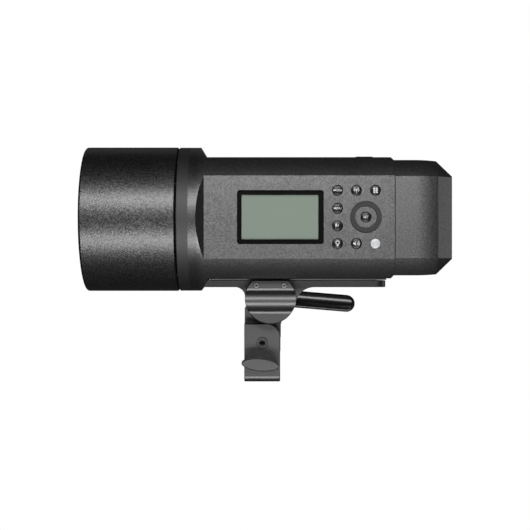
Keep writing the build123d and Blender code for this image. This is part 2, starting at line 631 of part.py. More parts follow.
def control_board():
    board = block(-26.0, 101.0, BOARD_Y, BOARD_Y + 1.6, 113.6, 168.4)
    for x, z in [*KEYS.values(), (DIAL_X, DIAL_Z)]:
        board += block(x - 2.2, x + 2.2, BOARD_Y - 1.2, BOARD_Y, z - 2.2, z + 2.2)
    return board


def key(x, z):
    """Push button: a crowned cap, and a flange that keeps it in the panel."""
    top_y = -SIDE_HALF - 0.7
    cap = cyl_y(KEY_R, top_y, BOARD_Y - 2.6, x, z)
    cap = fillet(cap.edges().sort_by(Axis.Y)[0], 0.6)
    return cap + cyl_y(KEY_HOLE_R + 0.9, -SIDE_HALF + WALL + 1.0, BOARD_Y - 2.6, x, z)


def select_dial():
    """Knurled ring that turns around the panel's centre boss."""
    y0, y1 = -SIDE_HALF - 0.9, -SIDE_HALF + 1.3
    ring = cyl_y(DIAL_R, y0, y1, DIAL_X, DIAL_Z) - cyl_y(DIAL_BORE_R, y0 - 1, y1 + 1, DIAL_X, DIAL_Z)
    radius = DIAL_R + 0.2
    for i in range(KNURLS):
        angle = 2 * pi * i / KNURLS
        ring -= cyl_y(0.42, y0 - 1, y1 + 1, DIAL_X + radius * cos(angle), DIAL_Z + radius * sin(angle))
    return ring


# ---------------------------------------------------------------- inside the body


def capacitor_bank():
    """Two large flash capacitors lying along the body."""
    cans = []
    for y in (-17.9, 17.9):
        can = cyl_x(17.5, -38.0, 32.0, y, AXIS_Z - 22.0)
        cans.append(chamfer(can.edges().group_by(Axis.X)[0], 1.5))
    return cans


def power_board():
    floor_z = AXIS_Z - 40.0
    board = block(34.0, 92.0, -34.0, 34.0, floor_z, floor_z + 2.0)
    board += block(60.0, 72.0, -20.0, 10.0, floor_z + 2.0, floor_z + 28.0)
    return board + block(77.0, 90.0, -24.0, 24.0, floor_z + 2.0, floor_z + 20.0)


def rear_bulkhead():
    """Wall at the bottom of the battery bay."""
    wall = flatted(BODY_R - WALL - 0.1, SIDE_HALF - WALL - 0.1, TOP_HALF - WALL - 0.1, *WALL_X)
    for y in CONTACT_Y:
        wall -= block(WALL_X[0] - 1, WALL_X[1] + 1, y - 3.0, y + 3.0, AXIS_Z - 6, AXIS_Z + 6)
    return wall


def battery_contacts():
    """Blades that pass through the wall into the battery."""
    blades = []
    for y in CONTACT_Y:
        blade = block(WALL_X[0] - 4, PLUG_X + 4.5, y - 0.8, y + 0.8, AXIS_Z - 4, AXIS_Z + 4)
        blades.append(blade + block(*WALL_X, y - 3.0, y + 3.0, AXIS_Z - 6, AXIS_Z + 6))
    return blades


def fan_frame():
    frame = block(FAN_X - 20, FAN_X + 20, 36.0, 46.4, FAN_Z - 20, FAN_Z + 20)
    frame -= cyl_y(18.6, 30, 60, FAN_X, FAN_Z)
    for x, z in ((20, 1.0), (1.0, 20)):
        frame += block(FAN_X - x, FAN_X + x, 36.0, 37.2, FAN_Z - z, FAN_Z + z)
    return frame + cyl_y(8.0, 36.0, 38.2, FAN_X, FAN_Z) - cyl_y(1.55, 36.6, 40, FAN_X, FAN_Z)


def fan_rotor():
    rotor = cyl_y(8.0, 38.6, 45.8, FAN_X, FAN_Z) + cyl_y(1.5, 36.8, 39.0, FAN_X, FAN_Z)
    blades = 7
    for i in range(blades):
        blade = Pos(0, 0, 12.6) * Rot(0, 0, 38) * Box(1.1, 8.0, 10.8)
        rotor += Pos(FAN_X, 42.2, FAN_Z) * Rot(0, 360 * i / blades, 0) * blade
    return rotor


def vent_grille():
    """Slatted insert in the far casing, over the fan."""
    x0, x1 = VENT_X[0] + 0.1, VENT_X[1] - 0.1
    z0, z1 = VENT_Z[0] + 0.1, VENT_Z[1] - 0.1
    grille = block(x0, x1, SIDE_HALF - WALL, SIDE_HALF, z0, z1)
    slats = 9
    pitch = (x1 - x0 - 4) / slats
    for i in range(slats):
        middle = x0 + 2 + pitch * (i + 0.5)
        grille -= block(middle - pitch * 0.3, middle + pitch * 0.3, 40, 60, z0 + 3, z1 - 3)
    return grille


def port_block():
    """Sync, USB and remote sockets in a recess."""
    x0, x1, z0, z1 = PORT_X[0] + 0.1, PORT_X[1] - 0.1, PORT_Z[0] + 0.1, PORT_Z[1] - 0.1
    tray = block(x0, x1, SIDE_HALF - 9.0, SIDE_HALF - 3.0, z0, z1)
    middle = (z0 + z1) / 2
    tray -= cyl_y(1.8, SIDE_HALF - 8, 60, x0 + 7, middle)
    tray -= block(x0 + 15.0, x0 + 24.0, SIDE_HALF - 8, 60, middle - 1.6, middle + 1.6)
    return tray - block(x0 + 30.0, x0 + 38.0, SIDE_HALF - 8, 60, middle - 3.0, middle + 3.0)


def port_door():
    """Rubber flap over the sockets, on a round hinge along its lower edge."""
    x0, x1, top = PORT_X[0] + 0.3, PORT_X[1] - 0.3, PORT_Z[1] - 0.3
    flap = block(x0, x1, SIDE_HALF - DOOR_THICK, SIDE_HALF, DOOR_HINGE_Z, top)
    flap = fillet(flap.edges().filter_by(Axis.Y).group_by(Axis.Z)[-1], 1.5)
    flap += cyl_x(DOOR_THICK / 2, x0, x1, DOOR_HINGE_Y, DOOR_HINGE_Z)
    return flap + cyl_x(DOOR_PIN_R, PORT_X[0] - 1.0, PORT_X[1] + 1.0, DOOR_HINGE_Y, DOOR_HINGE_Z)


def power_switch():
    """Rocker on two trunnions."""
    x0, x1 = SWITCH_X[0] + 0.4, SWITCH_X[1] - 0.4
    outline = [
        (x0 + 1.4, 46.5), (x1 - 1.4, 46.5), (x1 - 1.2, 52.2), (ROCKER_X, 50.6), (x0 + 1.2, 53.4),
    ]
    rocker = prism_z(outline, SWITCH_Z[0] + 0.4, SWITCH_Z[1] - 0.4)
    return rocker + cyl_z(TRUNNION_R, SWITCH_Z[0] - 1.8, SWITCH_Z[1] + 1.8, ROCKER_X, ROCKER_Y)


# ---------------------------------------------------------------- battery


def battery_section(x, half_y, half_z, corner_y, corner_z, bulge):
    """Cross-section with four flats joined by shallow corner arcs."""
    length = sqrt((half_y - corner_y) ** 2 + (half_z - corner_z) ** 2)
    middle_y = (half_y + corner_y) / 2 + bulge * (half_z - corner_z) / length
    middle_z = (half_z + corner_z) / 2 + bulge * (half_y - corner_y) / length
    start, middle, end = (half_y, corner_z), (middle_y, middle_z), (corner_y, half_z)
    loop = []
    for points, y_sign, z_sign in (
        ((start, middle, end), 1, 1),
        ((end, middle, start), -1, 1),
        ((start, middle, end), -1, -1),
        ((end, middle, start), 1, -1),
    ):
        loop.append([(x, y_sign * y, AXIS_Z + z_sign * z) for y, z in points])
    edges = []
    for i, arc in enumerate(loop):
        edges.append(ThreePointArc(*arc))
        edges.append(Line(arc[2], loop[(i + 1) % len(loop)][0]))
    return make_face(edges)


def battery_outer():
    """Flatted bar that closes in along a curve and ends in four slanted facets."""
    start_x, end_x = BATTERY_X
    steps = 8
    sections = [(start_x, 0.0, 0.0)]
    for i in range(steps + 1):
        t = i / steps
        sections.append((BEND_X + (FACET_X - BEND_X) * t, SIDE_SWEEP * t * t, TOP_SWEEP * t * t))
    faces = []
    for x, side, top in sections:
        half = (BATTERY_SIDE - side, BATTERY_TOP - top)
        corner = (TOP_FLAT_HALF_Y - side, SIDE_FLAT_HALF_Z)
        faces.append(battery_section(x, *half, *corner, CORNER_BULGE))
    faces.append(battery_section(end_x, END_HALF_Y, END_HALF_Z, END_HALF_Y - 1.0, END_HALF_Z - 0.8, 0.05))
    return loft(faces, ruled=True)


def battery_case():
    case = battery_outer()
    side, top = SIDE_HALF - WALL - 0.8, TOP_HALF - WALL - 0.8
    plug = flatted(BODY_R - WALL - 1.0, side, top, PLUG_X, BATTERY_X[0])
    case += plug
    case -= block(PLUG_X + 5, BATTERY_X[1] - 11, -38.5, 38.5, AXIS_Z - 38.4, AXIS_Z + 38.4)
    for y in CONTACT_Y:
        case -= block(PLUG_X - 1, PLUG_X + 5.5, y - 4.5, y + 4.5, AXIS_Z - 8, AXIS_Z + 8)
    # Recesses in the end face for the label plate, the gauge lights and the check button.
    x1 = BATTERY_X[1]
    case -= block(x1 - 0.8, x1 + 1, -24, 24, AXIS_Z - 16, AXIS_Z + 16)
    case -= cyl_x(3.6, x1 - 6, x1 + 1, GAUGE_BUTTON_Y, GAUGE_Z)
    return case


def battery_faceplate():
    x1 = BATTERY_X[1]
    plate = block(x1 - 0.8, x1, -23.9, 23.9, AXIS_Z - 15.9, AXIS_Z + 15.9)
    plate -= cyl_x(3.6, x1 - 6, x1 + 1, GAUGE_BUTTON_Y, GAUGE_Z)
    for y in GAUGE_LED_Y:
        plate -= cyl_x(1.4, x1 - 2, x1 + 1, y, GAUGE_Z)
    return plate


def charge_leds():
    return [cyl_x(1.4, BATTERY_X[1] - 0.8, BATTERY_X[1] + 0.2, y, GAUGE_Z) for y in GAUGE_LED_Y]


def battery_check_button():
    button = cyl_x(3.3, BATTERY_X[1] - 4.5, BATTERY_X[1] + 0.8, GAUGE_BUTTON_Y, GAUGE_Z)
    return fillet(button.edges().sort_by(Axis.X)[-1], 0.5)


def battery_cells():
    """Two layers of four round cells, lying across the body."""
    cells = []
    pitch = 18.7
    for x in (120.0, 139.0):
        for k in range(4):
            z = AXIS_Z + (k - 1.5) * pitch
            cells.append(cyl_y(CELL_R, -CELL_LENGTH / 2, CELL_LENGTH / 2, x, z))
    return cells


def battery_terminals():
    """Spring sockets that grip the body's blades."""
    sockets = []
    for y in CONTACT_Y:
        cup = block(PLUG_X + 0.4, PLUG_X + 5.4, y - 4.4, y + 4.4, AXIS_Z - 7.9, AXIS_Z + 7.9)
        sockets.append(cup - block(PLUG_X - 1, PLUG_X + 4.9, y - 1.4, y + 1.4, AXIS_Z - 5, AXIS_Z + 5))
    return sockets


def battery_release_button():
    top = AXIS_Z + TOP_HALF + 3.0
    pad = block(*RELEASE_X, -RELEASE_HALF_Y, RELEASE_HALF_Y, AXIS_Z + TOP_HALF - 5.0, top)
    pad = chamfer(pad.faces().sort_by(Axis.Z)[-1].edges(), 0.9)
    return pad


def main():
    os.makedirs("parts", exist_ok=True)
    near, far = split_casing(casing())
    save("panel_side_casing", near)
    save("far_side_casing", far)
    save("casing_screws", *casing_screws())
    save("tilt_arm", tilt_arm())
    save("accessory_insert", accessory_insert())
    save("stand_knob", stand_knob())
    save("knob_stud", knob_stud())
    save("clamp_shoe", clamp_shoe())
    save("mounting_rail", mounting_rail())
    save("rail_screws", *rail_screws())
    save("umbrella_cheek", umbrella_cheek())
    save("cheek_screws", *cheek_screws())
    save("pivot_bolt", pivot_bolt())
    save("friction_discs", *friction_discs())
    save("clamp_nut", clamp_nut())
    save("lock_lever", lock_lever())
    save("lever_screw", lever_screw())
    save("mount_ring", mount_ring())
    save("bayonet_plate", bayonet_plate())
    save("bayonet_screws", *bayonet_screws())
    save("mount_release_slider", mount_release_slider())
    save("reflector_pan", reflector_pan())
    save("tube_socket", tube_socket())
    save("flash_tube", flash_tube())
    save("modelling_lamp", modelling_lamp())
    save("glass_dome", glass_dome())
    save("protective_cap", protective_cap())
    save("cap_sleeve", cap_sleeve())
    save("lcd_bezel", lcd_bezel())
    save("lcd_window", lcd_window())
    save("lcd_display", lcd_display())
    save("control_board", control_board())
    for name, (x, z) in KEYS.items():
        save(name, key(x, z))
    save("set_button", key(DIAL_X, DIAL_Z))
    save("select_dial", select_dial())
    save("capacitor_bank", *capacitor_bank())
    save("power_board", power_board())
    save("rear_bulkhead", rear_bulkhead())
    save("battery_contacts", *battery_contacts())
    save("fan_frame", fan_frame())
    save("fan_rotor", fan_rotor())
    save("vent_grille", vent_grille())
    save("port_block", port_block())
    save("port_door", port_door())
    save("power_switch", power_switch())
    save("battery_case", battery_case())
    save("battery_faceplate", battery_faceplate())
    save("charge_leds", *charge_leds())
    save("battery_check_button", battery_check_button())
    save("battery_cells", *battery_cells())
    save("battery_terminals", *battery_terminals())
    save("battery_release_button", battery_release_button())


main()
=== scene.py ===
"""Looks of the monolight strobe: materials, crowned keys, rolled screws, printed marks, studio and camera.

Metres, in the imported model's frame: +Z up, light leaves along -X, the control panel faces -Y.
"""

import json
from math import cos, pi, radians, sin

import bmesh
import bpy
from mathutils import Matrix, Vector

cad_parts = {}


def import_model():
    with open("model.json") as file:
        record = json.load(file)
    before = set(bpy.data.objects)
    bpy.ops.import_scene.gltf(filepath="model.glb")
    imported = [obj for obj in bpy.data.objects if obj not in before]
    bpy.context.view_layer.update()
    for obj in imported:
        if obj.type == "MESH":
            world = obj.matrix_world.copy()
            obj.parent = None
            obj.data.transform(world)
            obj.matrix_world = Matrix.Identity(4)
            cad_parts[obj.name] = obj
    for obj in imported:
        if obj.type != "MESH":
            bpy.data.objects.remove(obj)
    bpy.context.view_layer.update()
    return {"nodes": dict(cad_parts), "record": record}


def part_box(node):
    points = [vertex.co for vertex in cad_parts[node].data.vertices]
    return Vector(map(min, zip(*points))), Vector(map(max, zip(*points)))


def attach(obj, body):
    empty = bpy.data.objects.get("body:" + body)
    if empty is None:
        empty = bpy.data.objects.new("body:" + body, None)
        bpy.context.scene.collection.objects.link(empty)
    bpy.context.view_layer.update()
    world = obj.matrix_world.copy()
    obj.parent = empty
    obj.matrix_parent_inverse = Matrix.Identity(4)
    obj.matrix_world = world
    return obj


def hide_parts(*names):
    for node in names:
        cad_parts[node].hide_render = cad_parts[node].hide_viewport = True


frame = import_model()
nodes = frame["nodes"]


def show(name, data):
    """A new object for a mesh, curve, light or camera, put in the scene."""
    piece = bpy.data.objects.new(name, data)
    bpy.context.scene.collection.objects.link(piece)
    return piece


# ---------------------------------------------------------------- node material helpers

GRAIN_ROUGHNESS = 0.7
DRIFT_SCALE = 22.0            # slow change of tone across a surface
DRIFT_SHARE = 0.2
GLASS_IOR = 1.45


def new_material(name):
    """An empty node material with its Principled shader joined to the output."""
    mat = bpy.data.materials.new(name)
    mat.use_nodes = True
    tree = mat.node_tree
    tree.nodes.clear()
    out = tree.nodes.new("ShaderNodeOutputMaterial")
    shader = tree.nodes.new("ShaderNodeBsdfPrincipled")
    tree.links.new(shader.outputs["BSDF"], out.inputs["Surface"])
    return mat, tree, shader


def find(mat, kind):
    """The one node of a kind in a material."""
    return next(node for node in mat.node_tree.nodes if node.type == kind)


def position(tree, scale=(1, 1, 1)):
    """Object coordinates, stretched by a scale."""
    coords = tree.nodes.new("ShaderNodeTexCoord")
    mapping = tree.nodes.new("ShaderNodeMapping")
    mapping.inputs["Scale"].default_value = scale
    tree.links.new(coords.outputs["Object"], mapping.inputs["Vector"])
    return mapping.outputs["Vector"]


def axes(tree):
    """Object coordinates, with an output for each axis."""
    coords = tree.nodes.new("ShaderNodeTexCoord")
    split = tree.nodes.new("ShaderNodeSeparateXYZ")
    tree.links.new(coords.outputs["Object"], split.inputs["Vector"])
    return split.outputs


def noise(tree, vector, scale, rough=0.5):
    node = tree.nodes.new("ShaderNodeTexNoise")
    node.inputs["Scale"].default_value = scale
    node.inputs["Detail"].default_value = 2.0
    node.inputs["Roughness"].default_value = rough
    tree.links.new(vector, node.inputs["Vector"])
    return node.outputs["Fac"]


def calculate(tree, operation, *values):
    """Math node on numbers and other nodes' outputs."""
    node = tree.nodes.new("ShaderNodeMath")
    node.operation = operation
    for socket, value in zip(node.inputs, values):
        if isinstance(value, bpy.types.NodeSocket):
            tree.links.new(value, socket)
        else:
            socket.default_value = value
    return node.outputs[0]


def remap(tree, value, start, end, low, high):
    """A value moved from one range to another, and held at its ends."""
    node = tree.nodes.new("ShaderNodeMapRange")
    limits = {"From Min": start, "From Max": end, "To Min": low, "To Max": high}
    for socket, limit in limits.items():
        node.inputs[socket].default_value = limit
    tree.links.new(value, node.inputs["Value"])
    return node.outputs["Result"]


def rgba(value):
    """A grey or a colour as four numbers."""
    return (*value, 1) if hasattr(value, "__len__") else (value, value, value, 1)


def ramp(tree, value, low, high, start=0.3, end=0.7):
    """Two colours or greys blended by a value."""
    node = tree.nodes.new("ShaderNodeValToRGB")
    stops = node.color_ramp.elements
    stops[0].position, stops[1].position = start, end
    stops[0].color, stops[1].color = rgba(low), rgba(high)
    tree.links.new(value, node.inputs["Fac"])
    return node.outputs["Color"]


def add_bump(tree, shader, height, strength, distance):
    node = tree.nodes.new("ShaderNodeBump")
    node.inputs["Strength"].default_value = strength
    node.inputs["Distance"].default_value = distance
    tree.links.new(height, node.inputs["Height"])
    tree.links.new(node.outputs["Normal"], shader.inputs["Normal"])


def tint(colour, factor):
    return tuple(min(1.0, c * factor) for c in colour)


def grained(name, colour, rough, grain=900.0, contrast=0.25, bump=0.25, depth=0.0002,
            rough_spread=0.05, metallic=0.0, specular=0.5, glint=0.0, stretch=(1, 1, 1)):
    """Moulded or painted surface: fine grain in colour, gloss, glint and height, and a slow drift."""
    mat, tree, shader = new_material(name)
    place = position(tree, stretch)
    fine = noise(tree, place, grain, GRAIN_ROUGHNESS)
    drift = calculate(tree, "MULTIPLY", noise(tree, place, DRIFT_SCALE), DRIFT_SHARE)
    mixed = calculate(tree, "MULTIPLY_ADD", fine, 1 - DRIFT_SHARE, drift)
    tone = ramp(tree, mixed, tint(colour, 1 - contrast), tint(colour, 1 + contrast))
    tree.links.new(tone, shader.inputs["Base Color"])
    gloss = ramp(tree, mixed, rough - rough_spread, rough + rough_spread)
    tree.links.new(gloss, shader.inputs["Roughness"])
    shader.inputs["Specular IOR Level"].default_value = specular
    if glint:
        shine = ramp(tree, fine, specular * (1 - glint), specular * (1 + glint), 0.35, 0.65)
        tree.links.new(shine, shader.inputs["Specular IOR Level"])
    shader.inputs["Metallic"].default_value = metallic
    add_bump(tree, shader, fine, bump, depth)
    return mat


def brushed(name, colour, rough, stretch):
    """Metal with fine lines along one direction."""
    return grained(name, colour, rough, grain=700.0, contrast=0.12, bump=0.12, depth=0.0001,
                   metallic=1.0, stretch=stretch)


def glassy(name, colour, rough, transmission=1.0):
    """Clear or frosted glass with a faint, uneven haze."""
    mat, tree, shader = new_material(name)
    haze = noise(tree, position(tree), 60.0)
    tree.links.new(ramp(tree, haze, rough * 0.8, rough * 1.2), shader.inputs["Roughness"])
    tree.links.new(ramp(tree, haze, tint(colour, 0.97), colour), shader.inputs["Base Color"])
    shader.inputs["Transmission Weight"].default_value = transmission
    shader.inputs["IOR"].default_value = GLASS_IOR
    return mat


# ---------------------------------------------------------------- materials

COLLAR_END = -0.0520          # the collar is coated like the cap, up to here
COAT_FADE = 0.0035            # half the width over which the coat thins out
COAT_SPECULAR = 0.48          # the coat's specular level, as a share of the plastic's
COAT_SOFTENING = 0.14         # how fast the coat gets rougher as that share falls

LCD = (0.087, 0.104, 0.086)
# Painted shade of the bezel along the display's borders, for each axis
LCD_PAINTED_SHADE = {"Z": (0.0018, 0.6), "X": (0.0009, 0.8)}      # width, and how dark it gets


def body_plastic(name):
    """Black plastic with a fine glinting grain."""
    return grained(name, (0.0022, 0.0022, 0.0024), 0.39, grain=950, contrast=0.4, bump=0.4,
                   rough_spread=0.04, specular=1.0, glint=0.27)


def casing_material():
    """Body plastic, with a duller coat on the round collar."""
    mat = body_plastic("casing_plastic")
    tree, shader = mat.node_tree, find(mat, "BSDF_PRINCIPLED")
    along = axes(tree)["X"]
    kept = remap(tree, along, COLLAR_END - COAT_FADE, COLLAR_END + COAT_FADE, COAT_SPECULAR, 1.0)
    softened = calculate(tree, "MULTIPLY_ADD", kept, -COAT_SOFTENING, 1 + COAT_SOFTENING)
    for socket, factor in (("Specular IOR Level", kept), ("Roughness", softened)):
        source = shader.inputs[socket].links[0].from_socket
        tree.links.new(calculate(tree, "MULTIPLY", source, factor), shader.inputs[socket])
    return mat


def display_material():
    """Grey-green display, darker along its borders with painted shade where the bezel would shade it."""
    mat = grained("lcd_glass", LCD, 0.16, grain=1200, contrast=0.03, bump=0.01, rough_spread=0.01)
    tree, shader = mat.node_tree, find(mat, "BSDF_PRINCIPLED")
    low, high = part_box("lcd_window")
    places = axes(tree)
    painted_shade = []
    for index, axis in enumerate("XYZ"):
        if axis in LCD_PAINTED_SHADE:
            reach, dark = LCD_PAINTED_SHADE[axis]
            middle, half = (low[index] + high[index]) / 2, (high[index] - low[index]) / 2
            offset = calculate(tree, "ABSOLUTE", calculate(tree, "SUBTRACT", places[axis], middle))
            painted_shade.append(remap(tree, offset, half - reach, half, 1.0, dark))
    # Darkens the display's colour towards its borders: painted shadow of the bezel's inner edge
    shade = tree.nodes.new("ShaderNodeVectorMath")
    shade.operation = "SCALE"
    base = shader.inputs["Base Color"]
    tree.links.new(base.links[0].from_socket, shade.inputs[0])
    tree.links.new(calculate(tree, "MULTIPLY", *painted_shade), shade.inputs["Scale"])
    tree.links.new(shade.outputs[0], base)
    return mat


materials = {
    "casing_plastic": casing_material(),
    "battery_plastic": body_plastic("battery_plastic"),
    "cap_paint": grained("cap_paint", (0.0012, 0.0012, 0.0013), 0.41, grain=650, contrast=0.5, bump=0.6,
                         rough_spread=0.06, specular=0.5, glint=0.4),
    "band_metal": grained("band_metal", (0.003, 0.003, 0.0032), 0.58, grain=1500, contrast=0.1, bump=0.06,
                          rough_spread=0.02, specular=0.36),
    "bayonet_steel": brushed("bayonet_steel", (0.55, 0.55, 0.56), 0.3, (1, 6, 6)),
    "rail_metal": grained("rail_metal", (0.003, 0.003, 0.0032), 0.43, grain=1600, contrast=0.1, bump=0.04,
                          rough_spread=0.02, specular=0.53),
    "knob_metal": grained("knob_metal", (0.006, 0.006, 0.0063), 0.42, grain=1600, contrast=0.1, bump=0.05,
                          rough_spread=0.02, specular=0.55),
    "lever_gloss": grained("lever_gloss", (0.003, 0.003, 0.0032), 0.24, grain=1800, contrast=0.1, bump=0.03,
                           rough_spread=0.02, specular=0.22),
    "dark_steel": grained("dark_steel", (0.010, 0.010, 0.0105), 0.34, grain=900, contrast=0.15, bump=0.08),
    "brass": brushed("brass", (0.65, 0.48, 0.2), 0.3, (1, 1, 6)),
    "friction_fibre": grained("friction_fibre", (0.11, 0.08, 0.06), 0.8, grain=500, contrast=0.4),
    "reflector_white": grained("reflector_white", (0.85, 0.85, 0.84), 0.3, contrast=0.04, bump=0.05),
    "ceramic": grained("ceramic", (0.82, 0.80, 0.75), 0.35, contrast=0.05, bump=0.08),
    "tube_glass": glassy("tube_glass", (0.95, 0.97, 1.0), 0.02),
    "lamp_yellow": grained("lamp_yellow", (0.80, 0.62, 0.12), 0.35, contrast=0.1, bump=0.05),
    "dome_glass": glassy("dome_glass", (0.93, 0.94, 0.95), 0.35, transmission=0.8),
    "bezel_gloss": grained("bezel_gloss", (0.0015, 0.0015, 0.0015), 0.16, grain=1800, contrast=0.1,
                           bump=0.02, rough_spread=0.02, specular=0.4),
    "lcd_glass": display_material(),
    "lcd_panel": grained("lcd_panel", LCD, 0.6, grain=1600, contrast=0.03, bump=0.02),
    "circuit_board": grained("circuit_board", (0.02, 0.12, 0.05), 0.4, grain=300, contrast=0.2, bump=0.1),
    "capacitor_sleeve": grained("capacitor_sleeve", (0.02, 0.02, 0.04), 0.25, contrast=0.1, bump=0.05),
    "inner_plastic": grained("inner_plastic", (0.02, 0.02, 0.02), 0.5),
    "key_plastic": grained("key_plastic", (0.004, 0.004, 0.0042), 0.30, grain=1500, contrast=0.15, bump=0.05,
                           rough_spread=0.03, specular=0.13),
    "test_key": grained("test_key", (0.19, 0.192, 0.196), 0.45, grain=500, contrast=0.08, bump=0.05),
    "dial_rubber": grained("dial_rubber", (0.003, 0.003, 0.003), 0.42, grain=1500, contrast=0.2, bump=0.1,
                           specular=0.3),
    "door_rubber": grained("door_rubber", (0.01, 0.01, 0.01), 0.6, grain=1300, contrast=0.2, bump=0.2),
    "faceplate": grained("faceplate", (0.006, 0.006, 0.006), 0.3, grain=1500, contrast=0.1, bump=0.05),
    "cell_wrap": grained("cell_wrap", (0.06, 0.18, 0.42), 0.3, contrast=0.1, bump=0.05),
    "led_green": grained("led_green", (0.10, 0.55, 0.16), 0.3, contrast=0.1, bump=0.05),
}
mark_white = grained("mark_white", (0.28, 0.284, 0.29), 0.7, grain=900, contrast=0.06, bump=0.03)
# Lighter copy of dark_steel for the cheek screws: a painted highlight standing in for the bright rim their
# rolled heads catch
steel_painted_highlight = grained("steel_painted_highlight", (0.095, 0.095, 0.097), 0.34, grain=900, contrast=0.15, bump=0.08)

for entry in frame["record"]["subparts"]:
    mesh = nodes[entry["node"]].data
    mesh.materials.clear()
    mesh.materials.append(materials[entry["material_slot"]])

# ---------------------------------------------------------------- turned pieces

SHARP_ANGLE = radians(35)     # edges sharper than this stay crisp


def turned(name, profile, centre, body, slot, steps, material=None):
    """Closed piece turned about an axis along Y; its profile of (radius, y) runs from front to back."""
    bm = bmesh.new()
    rings = []
    for radius, y in profile:
        count = steps if radius else 1
        angles = [2 * pi * i / count for i in range(count)]
        points = [(centre.x + radius * cos(a), y, centre.z + radius * sin(a)) for a in angles]
        rings.append([bm.verts.new(point) for point in points])
    for near, far in zip(rings, rings[1:]):
        for i in range(steps):
            j = (i + 1) % steps
            corners = [near[i % len(near)], near[j % len(near)], far[j % len(far)], far[i % len(far)]]
            bm.faces.new(list(dict.fromkeys(corners)))
    bmesh.ops.recalc_face_normals(bm, faces=bm.faces)
    mesh = bpy.data.meshes.new(name)
    bm.to_mesh(mesh)
    bm.free()
    mesh.shade_smooth()
    mesh.set_sharp_from_angle(angle=SHARP_ANGLE)
    mesh.materials.append(material or materials[slot])
    piece = show(name, mesh)
    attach(piece, body)
    return piece


# ---------------------------------------------------------------- crowned keys

KEYS = ("mode", "wireless", "group", "menu", "function", "lamp", "sound", "test", "set")
KEY_R = 0.00425
KEY_FACE_R = 0.0037
KEY_CROWN = 0.0115            # radius of the sphere that the face is part of
KEY_FLANGE = 0.0012
ROLL_ANGLES = (0.5, 0.9, 1.25, pi / 2)
FACE_STEPS = 8


def key_face(key):
    """Centre of a key's outer face."""
    low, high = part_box(f"{key}_button")
    return Vector(((low.x + high.x) / 2, low.y, (low.z + high.z) / 2))


def crown(radius):
    """How far a key's face has fallen away at a radius."""
    return radius * radius / (2 * KEY_CROWN)


def crowned_key(key):
    """Push button with a crowned face, a rolled rim and the flange that holds it in the panel."""
    node = f"{key}_button"
    low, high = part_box(node)
    flange_r, flange_y = (high.x - low.x) / 2, high.y - KEY_FLANGE
    radii = [KEY_FACE_R * i / FACE_STEPS for i in range(FACE_STEPS + 1)]
    face = [(radius, low.y + crown(radius)) for radius in radii]
    rim_y = face[-1][1]
    roll = KEY_R - KEY_FACE_R
    rim = [(KEY_FACE_R + roll * sin(a), rim_y + roll * (1 - cos(a))) for a in ROLL_ANGLES]
    body = [(KEY_R, flange_y), (flange_r, flange_y), (flange_r, high.y), (0.0, high.y)]
    slot = "test_key" if key == "test" else "key_plastic"
    piece = turned(f"{key}_key_cap", face + rim + body, key_face(key), f"{key}_key", slot, steps=72)
    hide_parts(node)


# ---------------------------------------------------------------- rolled screw heads on the cheek

CAD_SCREW_R = 0.0024          # the heads of the CAD node, at whose outer edges its box ends
SCREW_R = 0.00215
SOCKET_R = 0.00115
SHANK_R = 0.0010
HEAD_DEPTH = 0.0031
SOCKET_DEPTH = 0.0028
ROLL_STEPS = 8


def rolled_screw(name, x):
    """Cheek screw whose head is rolled over between the socket and the outer edge."""
    low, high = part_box("cheek_screws")
    roll = (SCREW_R - SOCKET_R) / 2
    angles = [pi * i / ROLL_STEPS for i in range(ROLL_STEPS + 1)]
    crest = [(SOCKET_R + roll * (1 - cos(a)), low.y + roll * (1 - sin(a))) for a in angles]
    socket = [(0.0, low.y + SOCKET_DEPTH), (SOCKET_R, low.y + SOCKET_DEPTH)]
    back = low.y + HEAD_DEPTH
    shank = [(SCREW_R, back), (SHANK_R, back), (SHANK_R, high.y), (0.0, high.y)]
    centre = Vector((x, 0, (low.z + high.z) / 2))
    # The head gets the lighter copy of dark_steel, a painted highlight
    piece = turned(name, socket + crest + shank, centre, "head", "dark_steel", 48, steel_painted_highlight)
    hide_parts("cheek_screws")


# ---------------------------------------------------------------- printed marks on the keys

FACE_LIFT = 0.00008
MARK_THICK = 0.00006
WORDS = {"mode": ("MODE", 0.0024), "menu": ("MENU", 0.0024), "set": ("SET", 0.0028)}
WORD_WEIGHT = 0.008           # how much bolder than the font, as a share of its size
MM = 0.001


def as_mesh(name, data):
    """A mesh object made from a curve or text, which is then removed."""
    temp = show(name + "_temp", data)
    bpy.context.view_layer.update()
    mesh = bpy.data.meshes.new_from_object(temp.evaluated_get(bpy.context.evaluated_depsgraph_get()))
    bpy.data.objects.remove(temp)
    return show(name, mesh)


def print_mark(name, drawing, key):
    """Stands a drawing in X and Y up in X and Z, and lays it on a key's crowned face."""
    piece = as_mesh(name, drawing)
    centre = key_face(key)
    for vertex in piece.data.vertices:
        x, z, lift = vertex.co
        drop = crown(min((x * x + z * z) ** 0.5, KEY_FACE_R))
        vertex.co = (centre.x + x, centre.y - FACE_LIFT - lift + drop, centre.z + z)
    piece.data.materials.clear()
    piece.data.materials.append(mark_white)
    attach(piece, f"{key}_key")


def print_word(key, text, size):
    name = f"{key}_word"
    font = bpy.data.curves.new(name, "FONT")
    font.body = text
    font.size = size
    font.align_x = "CENTER"
    font.align_y = "CENTER"
    font.extrude = MARK_THICK / 2
    font.offset = size * WORD_WEIGHT
    print_mark(name, font, key)


